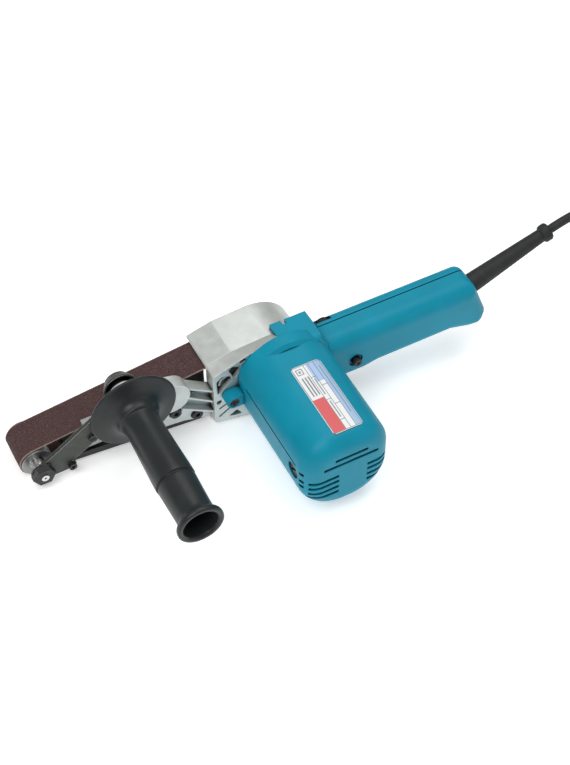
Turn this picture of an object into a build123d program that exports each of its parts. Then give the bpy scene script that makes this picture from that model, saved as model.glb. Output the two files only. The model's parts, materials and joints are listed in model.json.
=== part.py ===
"""Handheld belt sander for 30 x 533 mm belts: narrow belt arm, cross-mounted motor, bar handle.

All dimensions are millimetres. The tool is described in its own axes: x runs rearward from
the idler axle, y runs across the belt (the side grip and motor are on the -y side), z runs
up, and the idler axle is at (0, 0). The whole tool is pitched by TILT so that the lower run
of the belt lies flat on the row frame's z = 0 plane.
"""
from build123d import *
import os
from math import asin, atan2, cos, pi, radians, sin, sqrt, tan

os.makedirs("parts", exist_ok=True)

# ---- belt drive ----
BELT_WIDTH = 30.0
BELT_THICK = 1.0
DRIVE_R = 34.5            # outside of the belt on the drive pulley
IDLER_R = 13.6            # outside of the belt on the idler pulley
CENTRES = 191.4           # idler axle to drive spindle
BELT_GAP = 0.25           # play between the belt and what turns inside it
HALF_BELT = BELT_WIDTH / 2

# ---- where the tool stands ----
TILT = asin((DRIVE_R - IDLER_R) / CENTRES)
IDLER_X = -216.668         # row x of the idler axle
IDLER_Y = 65.75           # row y of the belt's middle plane
TOOL = Plane(origin=(IDLER_X, IDLER_Y, IDLER_R),
             x_dir=(cos(TILT), 0, sin(TILT)), z_dir=(-sin(TILT), 0, cos(TILT)))

# ---- gear train ----
MODULE = 0.7
PINION_TEETH = 11
GEAR_TEETH = 39
PRESSURE_ANGLE = radians(25)
BACKLASH = 0.14
GEAR_CENTRES = MODULE * (PINION_TEETH + GEAR_TEETH) / 2
MOTOR_DIRECTION = radians(39)
MOTOR_X = CENTRES + GEAR_CENTRES * cos(MOTOR_DIRECTION)
MOTOR_Z = GEAR_CENTRES * sin(MOTOR_DIRECTION)

# ---- castings and mouldings ----
FRONT_X = 143.0           # front face of the gear housing
WALL_FAR = -16.5          # belt side of the gear housing
FLANGE_Y = -29.0          # joint between gear housing and motor housing
COVER_FAR = 19.0          # open side of the belt cover
COVER_R = 37.5
COVER_X, COVER_Z = 195.5, 3.0
BARREL_X, BARREL_Z = 201.0, 8.25
BARREL_WIDTH, BARREL_HEIGHT = 74.0, 77.5
BARREL_CORNERS = (34.0, 27.0)      # lower and upper corner radii of the motor barrel
BARREL_END = -140.0
BARREL_ROUND = 14.0
PLASTIC = 2.6
HANDLE_FAR, HANDLE_NEAR = -7.0, -41.0
SPLIT_Y = -18.0           # parting plane of the handle
HANDLE_Y = (HANDLE_FAR + HANDLE_NEAR) / 2
GRIP_X, GRIP_Z = 75.5, 38.0
RUN_FIT = 0.03            # radial clearance of a shaft in its bearing

# ---- guard and cord ----
GUARD_PITCH = radians(20.7)
GUARD_BASE = (379.2, 14.8)
GUARD_LENGTH = 77.0
GUARD_FLANGE_R = 10.2
CORD_R = 3.75


def across(y, x=0.0, z=0.0):
    """Plane facing the grip side (-y): sketch axes run rearward and up."""
    return Plane(origin=TOOL.from_local_coords(Vector(x, y, z)), x_dir=TOOL.x_dir, z_dir=(0, -1, 0))


def facing_rear(x, y=0.0, z=0.0):
    """Plane facing rearward (+x): sketch axes run along +y and up."""
    return Plane(origin=TOOL.from_local_coords(Vector(x, y, z)), x_dir=(0, 1, 0), z_dir=TOOL.x_dir)


def facing_up(z, x=0.0, y=0.0):
    """Plane facing up (+z): sketch axes run rearward and along +y."""
    return Plane(origin=TOOL.from_local_coords(Vector(x, y, z)), x_dir=TOOL.x_dir, z_dir=TOOL.z_dir)


def disc(x, z, radius, y_far, y_near, mode=Mode.ADD):
    """Cylinder along y between two depths."""
    with BuildSketch(across(y_far, x, z)) as section:
        Circle(radius)
    extrude(section.sketch, amount=y_far - y_near, mode=mode)


def bar(x, y, z, radius, length, mode=Mode.ADD):
    """Cylinder along x, starting at x."""
    with BuildSketch(facing_rear(x, y, z)) as section:
        Circle(radius)
    extrude(section.sketch, amount=length, mode=mode)


def block(x_range, y_range, z_range, mode=Mode.ADD, corner=0.0):
    """Box over three ranges, with its four edges along y rounded."""
    (x0, x1), (y0, y1), (z0, z1) = (sorted(ends) for ends in (x_range, y_range, z_range))
    with BuildSketch(across(y1, (x0 + x1) / 2, (z0 + z1) / 2)) as section:
        if corner:
            RectangleRounded(x1 - x0, z1 - z0, corner)
        else:
            Rectangle(x1 - x0, z1 - z0)
    extrude(section.sketch, amount=y1 - y0, mode=mode)


def prism(points, y_far, y_near, mode=Mode.ADD, corner=0.0):
    """Prism along y over a closed outline of (x, z) points, its corners rounded."""
    with BuildSketch(across(y_far)) as outline:
        with BuildLine():
            Polyline(*points, close=True)
        make_face()
        if corner:
            fillet(outline.vertices(), corner)
    extrude(outline.sketch, amount=y_far - y_near, mode=mode)


def hull_of_circles(circles, y_far, y_near, mode=Mode.ADD):
    """Prism along y over the tight band round some (x, z, radius) circles."""
    with BuildSketch(across(y_far)) as band:
        for x, z, radius in circles:
            with Locations((x, z)):
                Circle(radius)
        make_hull()
    extrude(band.sketch, amount=y_far - y_near, mode=mode)


def turned(x, z, outline, mode=Mode.ADD):
    """Solid of revolution about y. The outline holds (distance towards -y, radius) points."""
    plane = Plane(origin=TOOL.from_local_coords(Vector(x, 0, z)), x_dir=(0, -1, 0),
                  z_dir=-TOOL.x_dir)
    with BuildSketch(plane) as half:
        with BuildLine():
            Polyline(*outline, close=True)
        make_face()
    revolve(half.sketch, axis=Axis(plane.origin, (0, -1, 0)), mode=mode)


def ring(x, z, outer, inner, y_far, y_near):
    """Plain ring about y."""
    disc(x, z, outer, y_far, y_near)
    disc(x, z, inner, y_far, y_near, mode=Mode.SUBTRACT)


def coil_spring(start, direction, radius, wire_radius, pitch, length):
    """Round-wire helical spring."""
    with BuildLine() as path:
        Helix(pitch=pitch, height=length, radius=radius, center=start, direction=direction)
    with BuildSketch(Plane(origin=path.line @ 0, z_dir=path.line % 0)) as wire:
        Circle(wire_radius)
    sweep(wire.sketch, path=path.line, is_frenet=True)


def barrel_section(y, grow=0.0):
    """Section of the motor barrel at one depth, grown or shrunk all round."""
    with BuildSketch(across(y, BARREL_X, BARREL_Z)) as section:
        Rectangle(BARREL_WIDTH + 2 * grow, BARREL_HEIGHT + 2 * grow)
        for row, radius in zip((0, -1), BARREL_CORNERS):
            fillet(section.vertices().group_by(Axis.Y)[row], radius + grow)
    return section.sketch


def save(name, builder):
    builder.part.label = name
    export_step(builder.part, f"parts/{name}.step")


# ---- belt and the arm that tensions it ----

def make_abrasive_belt():
    runs = [(0, 0, IDLER_R), (CENTRES, 0, DRIVE_R)]
    inside = [(x, z, radius - BELT_THICK) for x, z, radius in runs]
    with BuildPart() as abrasive_belt:
        hull_of_circles(runs, HALF_BELT, -HALF_BELT)
        hull_of_circles(inside, HALF_BELT, -HALF_BELT, mode=Mode.SUBTRACT)
    save("abrasive_belt", abrasive_belt)


IDLER_DRUM_R = IDLER_R - BELT_THICK - BELT_GAP
IDLER_HALF = 16.5
IDLER_BEARING_R = 6.5
IDLER_BEARING_WIDTH = 5.0
AXLE_R = 3.0


def make_idler_pulley():
    groove = 0.6
    with BuildPart() as idler_pulley:
        disc(0, 0, IDLER_DRUM_R, IDLER_HALF, -IDLER_HALF)
        for side in (-1, 1):
            for place in (10.5, 12.5, 14.5):
                middle = side * place
                disc(0, 0, IDLER_DRUM_R + 1, middle + 0.5, middle - 0.5, mode=Mode.SUBTRACT)
                disc(0, 0, IDLER_DRUM_R - groove, middle + 0.5, middle - 0.5)
        disc(0, 0, IDLER_BEARING_R - 1.0, IDLER_HALF, -IDLER_HALF, mode=Mode.SUBTRACT)
        for side in (-1, 1):
            end, shoulder = side * IDLER_HALF, side * (IDLER_HALF - IDLER_BEARING_WIDTH)
            disc(0, 0, IDLER_BEARING_R, max(end, shoulder), min(end, shoulder), mode=Mode.SUBTRACT)
    save("idler_pulley", idler_pulley)


def make_idler_bearings():
    with BuildPart() as idler_bearings:
        for y_far in (IDLER_HALF, -IDLER_HALF + IDLER_BEARING_WIDTH):
            ring(0, 0, IDLER_BEARING_R, AXLE_R + RUN_FIT, y_far, y_far - IDLER_BEARING_WIDTH)
    save("idler_bearings", idler_bearings)


ARM_NEAR, ARM_FAR = -26.0, -23.0
NUT_NEAR = -32.5


def make_idler_axle():
    washer_r = 5.2
    with BuildPart() as idler_axle:
        disc(0, 0, AXLE_R, IDLER_HALF + 2.5, NUT_NEAR - 0.8)
        disc(0, 0, washer_r, IDLER_HALF + 2.5, IDLER_HALF + 0.5)
        disc(0, 0, washer_r, -IDLER_HALF - 0.4, ARM_FAR)
        disc(0, 0, 1.0, NUT_NEAR + 1.5, NUT_NEAR - 0.8, mode=Mode.SUBTRACT)
    save("idler_axle", idler_axle)


def make_axle_nut():
    across_corners_r = 9.4
    washer_r = 9.0
    with BuildPart() as axle_nut:
        with BuildSketch(across(ARM_NEAR - 1.2)):
            RegularPolygon(across_corners_r, 6)
        extrude(amount=ARM_NEAR - 1.2 - NUT_NEAR)
        chamfer(axle_nut.edges().group_by(Axis.Y)[0], 0.8)
        disc(0, 0, washer_r, ARM_NEAR, ARM_NEAR - 1.2)
        disc(0, 0, AXLE_R, ARM_NEAR, NUT_NEAR, mode=Mode.SUBTRACT)
    save("axle_nut", axle_nut)


TRACK_X, TRACK_Z = 23.5, -5.6
ARM_SCREWS = ((43.0, 16.5), (49.0, 26.0))


def make_tension_arm():
    with BuildPart() as tension_arm:
        hull_of_circles([(0, -3.2, 7.4), (22.8, 8.6, 10.1)], ARM_FAR, ARM_NEAR)
        hull_of_circles([(0, -3.2, 7.4), (TRACK_X, TRACK_Z, 4.0)], ARM_FAR, ARM_NEAR)
        prism([(14.5, 2.8), (17.2, 17.0), (54, 42.3), (54, 17.2), (27, -0.8)], ARM_FAR, ARM_NEAR)
        disc(0, 0, AXLE_R, ARM_FAR, ARM_NEAR, mode=Mode.SUBTRACT)
        disc(TRACK_X, TRACK_Z, 2.05, ARM_FAR, ARM_NEAR, mode=Mode.SUBTRACT)
        for x, z in ARM_SCREWS:
            disc(x, z, 2.0, ARM_FAR, ARM_NEAR, mode=Mode.SUBTRACT)
    save("tension_arm", tension_arm)


ROD_Y, ROD_Z = -4.0, 3.5
ROD_R = 5.0
ROD_START, ROD_END = 39.0, 92.0


def make_arm_block():
    with BuildPart() as arm_block:
        block((38, 53), (ARM_FAR, -17.0), (9.5, 30))
        block((38, 53), (-18.5, 2.5), (-3.5, 11.5), corner=2.0)
        bar(37, ROD_Y, ROD_Z, ROD_R, 17, mode=Mode.SUBTRACT)
        for x, z in ARM_SCREWS:
            disc(x, z, 2.0, -17.0, ARM_FAR, mode=Mode.SUBTRACT)
    save("arm_block", arm_block)


def make_arm_screws():
    with BuildPart() as arm_screws:
        for x, z in ARM_SCREWS:
            disc(x, z, 2.0, -17.5, ARM_NEAR)
            disc(x, z, 3.6, ARM_NEAR, ARM_NEAR - 2.2)
            block((x - 3, x + 3), (ARM_NEAR - 2.2, ARM_NEAR - 1.2), (z - 0.5, z + 0.5),
                  mode=Mode.SUBTRACT)
    save("arm_screws", arm_screws)


def make_slide_rod():
    with BuildPart() as slide_rod:
        bar(ROD_START - 1, ROD_Y, ROD_Z, ROD_R, ROD_END - ROD_START + 1)
        chamfer(slide_rod.edges().group_by(Axis.X)[-1], 0.8)
    save("slide_rod", slide_rod)


def make_tracking_screw():
    with BuildPart() as tracking_screw:
        disc(TRACK_X, TRACK_Z, 2.0, ARM_FAR + 3.5, ARM_NEAR)
        disc(TRACK_X, TRACK_Z, 3.2, ARM_NEAR - 0.05, ARM_NEAR - 3.4)
        disc(TRACK_X, TRACK_Z, 2.0, ARM_NEAR, ARM_NEAR - 0.1)
        with BuildSketch(across(ARM_NEAR - 1.6, TRACK_X, TRACK_Z)):
            RegularPolygon(1.7, 6)
        extrude(amount=1.8, mode=Mode.SUBTRACT)
    save("tracking_screw", tracking_screw)


# ---- frame between the housing and the side grip ----

GUIDE_FRONT, GUIDE_REAR = 70.0, 119.0
BORE_END = 115.0
GUIDE_WEB = ((84, 5), (84, 20.6), (142.7, 27.0), (142.7, -5), (112, -5), (112, 5))
FRAME_FAR, FRAME_NEAR = -17.0, -21.0
BOSS_FAR, BOSS_NEAR = -13.5, -31.0
PLUNGER_R = 8.0
FRAME_SCREWS = ((113.0, -1.5), (131.0, -13.0))   # into the slide guide and into the shoe
SOCKET_SCREW_R = 2.5
HEAD_SEAT = -19.0
SCREW_TIP = -13.0


def make_side_frame():
    fins = ((121.0, 31.0, 15.0), (122.5, 19.0, 2.5), (117.0, 8.0, -9.5))
    with BuildPart() as side_frame:
        hull_of_circles([(GRIP_X, GRIP_Z, 12.0), (109, 25, 15.0)], FRAME_FAR, BOSS_NEAR + 3)
        disc(GRIP_X, GRIP_Z, 12.0, BOSS_FAR, BOSS_NEAR)
        prism([(78, 26), (112, 26), (126, 15), (FRONT_X, 12), (FRONT_X, -23), (120, -15.5),
               (84, -11), (76, -3)], FRAME_FAR, FRAME_NEAR, corner=2.0)
        for x, top, foot in fins:
            prism([(x, top), (x, top - 2.2), (FRONT_X, foot - 2.2), (FRONT_X, foot)],
                  FRAME_FAR, -27.0)
        disc(109, 25, 9.0, FRAME_NEAR + 1.5, BOSS_NEAR + 5, mode=Mode.SUBTRACT)
        disc(109, 25, 5.0, FRAME_NEAR + 1.5, BOSS_NEAR + 6)
        disc(GRIP_X, GRIP_Z, PLUNGER_R + RUN_FIT, BOSS_FAR, -20.0, mode=Mode.SUBTRACT)
        disc(GRIP_X, GRIP_Z, 4.0, -20.0, BOSS_NEAR, mode=Mode.SUBTRACT)
        for x, z in FRAME_SCREWS:
            disc(x, z, 5.4, HEAD_SEAT, FRAME_NEAR, mode=Mode.SUBTRACT)
            disc(x, z, SOCKET_SCREW_R, FRAME_FAR, FRAME_NEAR, mode=Mode.SUBTRACT)
    save("side_frame", side_frame)


def make_slide_guide():
    """Block inside the belt loop that guides the sliding rod; its spring sits in the bore."""
    x, z = FRAME_SCREWS[0]
    with BuildPart() as slide_guide:
        block((GUIDE_FRONT, GUIDE_REAR), (FRAME_FAR, ROD_Y + 9), (-5, 12.5), corner=2.5)
        prism(GUIDE_WEB, -8.0, -12.4)
        bar(GUIDE_FRONT - 1, ROD_Y, ROD_Z, ROD_R + RUN_FIT, BORE_END - GUIDE_FRONT + 1,
            mode=Mode.SUBTRACT)
        disc(x, z, SOCKET_SCREW_R, SCREW_TIP, FRAME_FAR, mode=Mode.SUBTRACT)
    save("slide_guide", slide_guide)


def make_tension_spring():
    start = TOOL.from_local_coords(Vector(ROD_END + 0.6, ROD_Y, ROD_Z))
    with BuildPart() as tension_spring:
        coil_spring(start, TOOL.x_dir, 3.6, 0.55, 2.9, BORE_END - ROD_END - 1.2)
    save("tension_spring", tension_spring)


SHOE_FRONT, SHOE_REAR = 28.0, 143.5
PAD_THICK = 0.8


def level(y):
    """Plane facing the grip side, square to the row frame, below the idler axle at z = 0."""
    return Plane(origin=(IDLER_X, IDLER_Y + y, 0), x_dir=(1, 0, 0), z_dir=(0, -1, 0))


def make_shoe():
    """The shoe lies along the lower run, so it is drawn square to the row frame."""
    bottom = BELT_THICK + BELT_GAP + PAD_THICK
    with BuildPart() as shoe:
        with BuildSketch(level(14.0)):
            with BuildLine():
                Polyline((SHOE_FRONT, bottom), (SHOE_REAR, bottom), (SHOE_REAR, 8.2),
                         (SHOE_FRONT + 8, 8.2), (SHOE_FRONT, 5.0), close=True)
            make_face()
        extrude(amount=14.0 - FRAME_FAR)
        with BuildSketch(level(9.0)):
            with Locations(((SHOE_FRONT + SHOE_REAR) / 2 + 3, 7.2)):
                Rectangle(SHOE_REAR - SHOE_FRONT - 30, 4.0)
        extrude(amount=21.0, mode=Mode.SUBTRACT)
        with BuildSketch(level(SCREW_TIP)):
            with Locations((131.3, 15.0)):
                RectangleRounded(20.0, 25.0, 3.0)
        extrude(amount=SCREW_TIP - FRAME_FAR)
        disc(*FRAME_SCREWS[1], SOCKET_SCREW_R, SCREW_TIP, FRAME_FAR, mode=Mode.SUBTRACT)
    save("shoe", shoe)


def make_platen_pad():
    with BuildPart() as platen_pad:
        with BuildSketch(level(14.0)):
            with Locations(((SHOE_FRONT + SHOE_REAR) / 2, BELT_THICK + BELT_GAP + PAD_THICK / 2)):
                Rectangle(SHOE_REAR - SHOE_FRONT, PAD_THICK)
        extrude(amount=28.0)
    save("platen_pad", platen_pad)


def make_frame_screws():
    with BuildPart() as frame_screws:
        for x, z in FRAME_SCREWS:
            disc(x, z, SOCKET_SCREW_R, SCREW_TIP, HEAD_SEAT)
            disc(x, z, 4.5, HEAD_SEAT, HEAD_SEAT - 4)
            with BuildSketch(across(HEAD_SEAT - 2, x, z)):
                RegularPolygon(2.4, 6)
            extrude(amount=2.0, mode=Mode.SUBTRACT)
    save("frame_screws", frame_screws)


def make_button_cap():
    with BuildPart() as button_cap:
        turned(GRIP_X, GRIP_Z, [(9.2, 13.6), (9.2, 12.2), (4.5, 9.6), (1.6, 8.6), (1.6, 0),
                                (-0.4, 0), (-0.4, 7.6), (0.6, 9.6), (3.4, 11.0), (7.6, 13.6)])
    save("button_cap", button_cap)


def make_button_plunger():
    with BuildPart() as button_plunger:
        disc(GRIP_X, GRIP_Z, PLUNGER_R, -1.6, -16.5)
        disc(GRIP_X, GRIP_Z, 4.2, -12.5, -16.5, mode=Mode.SUBTRACT)
    save("button_plunger", button_plunger)


GRIP_FLANGE_R = 34.8
GRIP_FLANGE_FAR = 31.4
GRIP_END = 150.5


def make_side_grip():
    flange, end = GRIP_FLANGE_FAR, GRIP_END
    outline = [(flange, 4.0), (flange, GRIP_FLANGE_R - 1.2), (flange + 1.2, GRIP_FLANGE_R),
               (flange + 2.6, GRIP_FLANGE_R - 0.4), (flange + 5.2, 22.0), (flange + 8.6, 18.6),
               (flange + 12, 16.4), (46, 15.0), (58, 14.5), (85, 15.2), (107, 15.8),
               (107.6, 14.6), (109, 14.5), (110, 15.3), (125, 14.8), (141, 14.6),
               (144, 15.6), (145.4, 17.6), (147.4, 18.3), (149.4, 18.2), (end, 17.2),
               (end, 15.0), (149, 13.6), (146, 13.2), (124, 12.2), (124, 0), (66, 0), (66, 4.0)]
    with BuildPart() as side_grip:
        turned(GRIP_X, GRIP_Z, outline)
    save("side_grip", side_grip)


def make_grip_bolt():
    with BuildPart() as grip_bolt:
        disc(GRIP_X, GRIP_Z, 3.95, -20.6, -65.0)
        chamfer(grip_bolt.edges().group_by(Axis.Y)[-1], 0.8)
    save("grip_bolt", grip_bolt)


# ---- gear housing and belt cover ----

NEAR_OUTLINE = ((144.5, 31.0, 1.5), (172.0, 40.2, 2.0), (200.0, 6.3, 41.5), (144.5, -22.0, 1.5))
FAR_OUTLINE = ((144.5, 31.5, 1.5), (165.0, 36.6, 2.0), (COVER_X, COVER_Z, COVER_R),
               (144.5, -27.0, 1.5))
BEARING_A = (12.0, 5.0, -17.0, -24.0)      # outer radius, bore radius, far y, near y
BEARING_B = (8.0, 4.0, -32.0, -37.0)
BEARING_C = (8.5, 5.0, -32.0, -37.0)
BEARING_D = (8.0, 3.0, -129.0, -134.0)
MOUTH_X, MOUTH_Z, MOUTH_R = 201.0, 6.8, 36.2
BOSS_X, BOSS_Z = 155.5, 7.0
SCREW_R = 2.4
TONGUE_X = (201.2, 232.6)  # tongue of the motor housing that laps over the castings
TONGUE_Z = (40.6, 43.8)
TONGUE_FAR = -10.0


# Openings in the near wall: an arched window, a cavity behind the flange, and a triangle below.
NEAR_OPENINGS = (((146.2, 9.0), (146.0, 25.5), (150.5, 29.2), (157.6, 26.8), (159.2, 21.0), (150.8, 14.2)),
                 ((156.4, 33.8), (159.4, 36.6), (167.0, 32.8), (166.2, 29.0), (161.0, 21.8)),
                 ((154.5, -21.6), (162.0, -17.2), (167.0, -24.8)))
NEAR_SLOTS = ((169.0, 38.6, 6.0, 3.0, 20.0), (151.2, -6.2, 9.5, 1.9, 23.5), (152.2, -14.0, 13.5, 1.9, 33.0))
WINDOW_RIB = ((147.4, 19.6), (149.2, 25.6), (154.6, 27.4), (155.0, 26.2), (150.4, 24.4), (148.8, 19.2))


def tapered_block(inset, y_far, y_near, mode=Mode.ADD):
    """Loft between the belt-side and motor-side outlines of the gear housing, shrunk by inset."""
    share = [(y - WALL_FAR) / (FLANGE_Y - WALL_FAR) for y in (y_far, y_near)]
    faces = []
    for y, part in zip((y_far, y_near), share):
        with BuildSketch(across(y)) as outline:
            for far, near in zip(FAR_OUTLINE, (NEAR_OUTLINE[i] for i in range(4))):
                x, z, radius = (a + (b - a) * part for a, b in zip(far, near))
                nudge = inset if radius < 10 else 0
                with Locations((x + nudge, z - (nudge if z > 0 else -nudge))):
                    Circle(radius if radius < 10 else radius - inset)
            make_hull()
        faces.append(outline.sketch.face())
    loft(faces, mode=mode)


def make_gear_housing():
    outer_a, _, far_a, near_a = BEARING_A
    with BuildPart() as gear_housing:
        tapered_block(0.0, WALL_FAR, FLANGE_Y)
        tapered_block(3.0, WALL_FAR - 3.0, FLANGE_Y + 3.0, mode=Mode.SUBTRACT)
        disc(MOUTH_X, MOUTH_Z, MOUTH_R, FLANGE_Y + 4, FLANGE_Y - 1, mode=Mode.SUBTRACT)
        block((TONGUE_X[0] - 0.3, TONGUE_X[1] + 4), (FLANGE_Y, WALL_FAR), (TONGUE_Z[0], 60),
              mode=Mode.SUBTRACT)
        disc(CENTRES, 0, outer_a + 2.5, WALL_FAR, near_a)
        disc(CENTRES, 0, outer_a, far_a, near_a, mode=Mode.SUBTRACT)
        disc(CENTRES, 0, 8.0, WALL_FAR, near_a, mode=Mode.SUBTRACT)
        disc(BOSS_X, BOSS_Z, 5.5, WALL_FAR - 2, FLANGE_Y)
        disc(BOSS_X, BOSS_Z, SCREW_R, WALL_FAR - 2, FLANGE_Y, mode=Mode.SUBTRACT)
        for opening in NEAR_OPENINGS:
            prism(opening, FLANGE_Y + 4, FLANGE_Y - 1, mode=Mode.SUBTRACT, corner=0.9)
        disc(147.2, 0.2, 2.2, FLANGE_Y + 4, FLANGE_Y - 1, mode=Mode.SUBTRACT)
        for x, z, length, width, slant in NEAR_SLOTS:
            with BuildSketch(across(FLANGE_Y + 4, x, z)) as slot:
                SlotOverall(length, width, rotation=slant)
            extrude(slot.sketch, amount=5.0, mode=Mode.SUBTRACT)
        prism(WINDOW_RIB, WALL_FAR - 2.5, FLANGE_Y + 0.8)
    save("gear_housing", gear_housing)


COVER_WALL = 2.5
COVER_STOP = radians(-48)


def make_belt_cover():
    outer = FAR_OUTLINE[:3]
    inner = [(144.0, 28.7, 1.5), (165.0, 34.1, 2.0), (COVER_X, COVER_Z, COVER_R - COVER_WALL)]
    stop_x = COVER_X + COVER_R * cos(COVER_STOP)
    stop_z = COVER_Z + COVER_R * sin(COVER_STOP)
    with BuildPart() as belt_cover:
        hull_of_circles(outer, COVER_FAR, WALL_FAR)
        hull_of_circles(inner, COVER_FAR - 1.5, WALL_FAR, mode=Mode.SUBTRACT)
        hull_of_circles([(x, z, radius - 2.5 if radius > 10 else radius) for x, z, radius in inner],
                        COVER_FAR, COVER_FAR - 2, mode=Mode.SUBTRACT)
        prism([(120, -60), (120, 28.6), (150, 28.6), (COVER_X, 5.0),
               (COVER_X + 6, COVER_Z - 2), (stop_x - 1, stop_z + 2), (stop_x + 30, stop_z - 25),
               (stop_x + 30, -60)], COVER_FAR + 1, WALL_FAR - 1, mode=Mode.SUBTRACT)
    save("belt_cover", belt_cover)


# ---- drive pulley, spindle and gears ----

HUB_R = 30.0
LAGGING_R = DRIVE_R - BELT_THICK - BELT_GAP
PULLEY_FAR, PULLEY_NEAR = 15.5, -15.5
SPINDLE_R = 5.0
GEAR_FAR, GEAR_NEAR = -25.0, -31.0


def make_drive_pulley():
    with BuildPart() as drive_pulley:
        ring(CENTRES, 0, HUB_R, HUB_R - 3.5, PULLEY_FAR, PULLEY_NEAR)
        disc(CENTRES, 0, HUB_R - 1, 3.0, -2.0)
        disc(CENTRES, 0, 10.0, 13.0, PULLEY_NEAR)
        with BuildSketch(across(4.0, CENTRES, 0)):
            with PolarLocations(18.5, 6):
                Circle(5.2)
        extrude(amount=8.0, mode=Mode.SUBTRACT)
        disc(CENTRES, 0, SPINDLE_R, 14.0, PULLEY_NEAR - 1, mode=Mode.SUBTRACT)
    save("drive_pulley", drive_pulley)


def make_pulley_lagging():
    with BuildPart() as pulley_lagging:
        ring(CENTRES, 0, LAGGING_R, HUB_R, PULLEY_FAR, PULLEY_NEAR)
    save("pulley_lagging", pulley_lagging)


def make_drive_spindle():
    bore_a, bore_b = BEARING_A[1], BEARING_B[1]
    with BuildPart() as drive_spindle:
        disc(CENTRES, 0, SPINDLE_R, 18.0, PULLEY_NEAR)
        disc(CENTRES, 0, bore_a - RUN_FIT, PULLEY_NEAR, BEARING_A[3] - 0.5)
        disc(CENTRES, 0, SPINDLE_R, BEARING_A[3] - 0.5, GEAR_NEAR - 0.4)
        disc(CENTRES, 0, bore_b - RUN_FIT, GEAR_NEAR - 0.4, BEARING_B[3])
    save("drive_spindle", drive_spindle)


def make_pulley_nut():
    with BuildPart() as pulley_nut:
        with BuildSketch(across(18.6, CENTRES, 0)):
            RegularPolygon(9.2, 6)
        extrude(amount=4.6)
        disc(CENTRES, 0, 9.5, 14.0, 13.0)
        disc(CENTRES, 0, SPINDLE_R, 19.0, 12.5, mode=Mode.SUBTRACT)
    save("pulley_nut", pulley_nut)


def involute(angle):
    return tan(angle) - angle


def tooth_half_angle(radius, teeth):
    """Half the angle that a tooth fills at a radius, on an involute flank."""
    pitch_r = MODULE * teeth / 2
    base_r = pitch_r * cos(PRESSURE_ANGLE)
    here = max(radius, base_r + 1e-6)
    at_pitch = pi / (2 * teeth) - BACKLASH / (4 * pitch_r)
    return at_pitch + involute(PRESSURE_ANGLE) - involute(acos_ratio(base_r, here))


def acos_ratio(short, long):
    return atan2(sqrt(long * long - short * short), short)


def gear_points(teeth, phase):
    """Closed outline of a spur gear whose first tooth points along phase."""
    pitch_r = MODULE * teeth / 2
    root_r, tip_r = pitch_r - 1.15 * MODULE, pitch_r + 0.9 * MODULE
    flank = [root_r] + [root_r + (tip_r - root_r) * step / 4 for step in (1, 2, 3, 4)]
    points = []
    for tooth in range(teeth):
        middle = phase + 2 * pi * tooth / teeth
        rising = [(r, middle - tooth_half_angle(r, teeth)) for r in flank]
        falling = [(r, middle + tooth_half_angle(r, teeth)) for r in reversed(flank)]
        points += [(r * cos(a), r * sin(a)) for r, a in rising + falling]
    return points


def make_drive_gear():
    with BuildPart() as drive_gear:
        with BuildSketch(across(GEAR_FAR, CENTRES, 0)):
            with BuildLine():
                Polyline(*gear_points(GEAR_TEETH, MOTOR_DIRECTION), close=True)
            make_face()
            Circle(SPINDLE_R, mode=Mode.SUBTRACT)
        extrude(amount=GEAR_FAR - GEAR_NEAR)
        with BuildSketch(across(GEAR_NEAR + 1.5, CENTRES, 0)):
            Circle(10.5)
            Circle(7.5, mode=Mode.SUBTRACT)
        extrude(amount=1.5, mode=Mode.SUBTRACT)
    save("drive_gear", drive_gear)


def bearing(spec, x, z):
    outer, bore, far, near = spec
    ring(x, z, outer, bore, far, near)
    for face, depth in ((far, -0.5), (near, 0.5)):
        edge = max(face, face + depth)
        with BuildSketch(across(edge, x, z)) as recess:
            Circle(outer - 1.4)
            Circle(bore + 1.2, mode=Mode.SUBTRACT)
        extrude(recess.sketch, amount=abs(depth), mode=Mode.SUBTRACT)


def make_spindle_bearings():
    with BuildPart() as spindle_bearings:
        bearing(BEARING_A, CENTRES, 0)
        bearing(BEARING_B, CENTRES, 0)
    save("spindle_bearings", spindle_bearings)


def make_armature_bearings():
    with BuildPart() as armature_bearings:
        bearing(BEARING_C, MOTOR_X, MOTOR_Z)
        bearing(BEARING_D, MOTOR_X, MOTOR_Z)
    save("armature_bearings", armature_bearings)


COVER_PLATE_FAR = -32.0
COVER_PLATE_NEAR = -34.0


def make_inner_gear_cover():
    with BuildPart() as inner_gear_cover:
        extrude(barrel_section(COVER_PLATE_FAR, -PLASTIC), amount=COVER_PLATE_FAR - COVER_PLATE_NEAR)
        hull_of_circles([(CENTRES, 0, BEARING_B[0] + 2.5), (MOTOR_X, MOTOR_Z, BEARING_C[0] + 2.5)],
                        COVER_PLATE_FAR, BEARING_C[3])
        disc(CENTRES, 0, BEARING_B[0], COVER_PLATE_FAR, BEARING_B[3], mode=Mode.SUBTRACT)
        disc(MOTOR_X, MOTOR_Z, BEARING_C[0], COVER_PLATE_FAR, BEARING_C[3], mode=Mode.SUBTRACT)
    save("inner_gear_cover", inner_gear_cover)


# ---- motor ----

SHAFT_R = 4.0
CORE_R, STATOR_R = 17.0, 27.5
CORE_FAR, CORE_NEAR = -63.0, -101.0
COMMUTATOR_R = 10.5
COMMUTATOR_FAR, COMMUTATOR_NEAR = -112.0, -127.0
BRUSH_Y = -120.0
FAN_FAR, FAN_NEAR = -39.0, -49.0
FAN_R = 26.0


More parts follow.
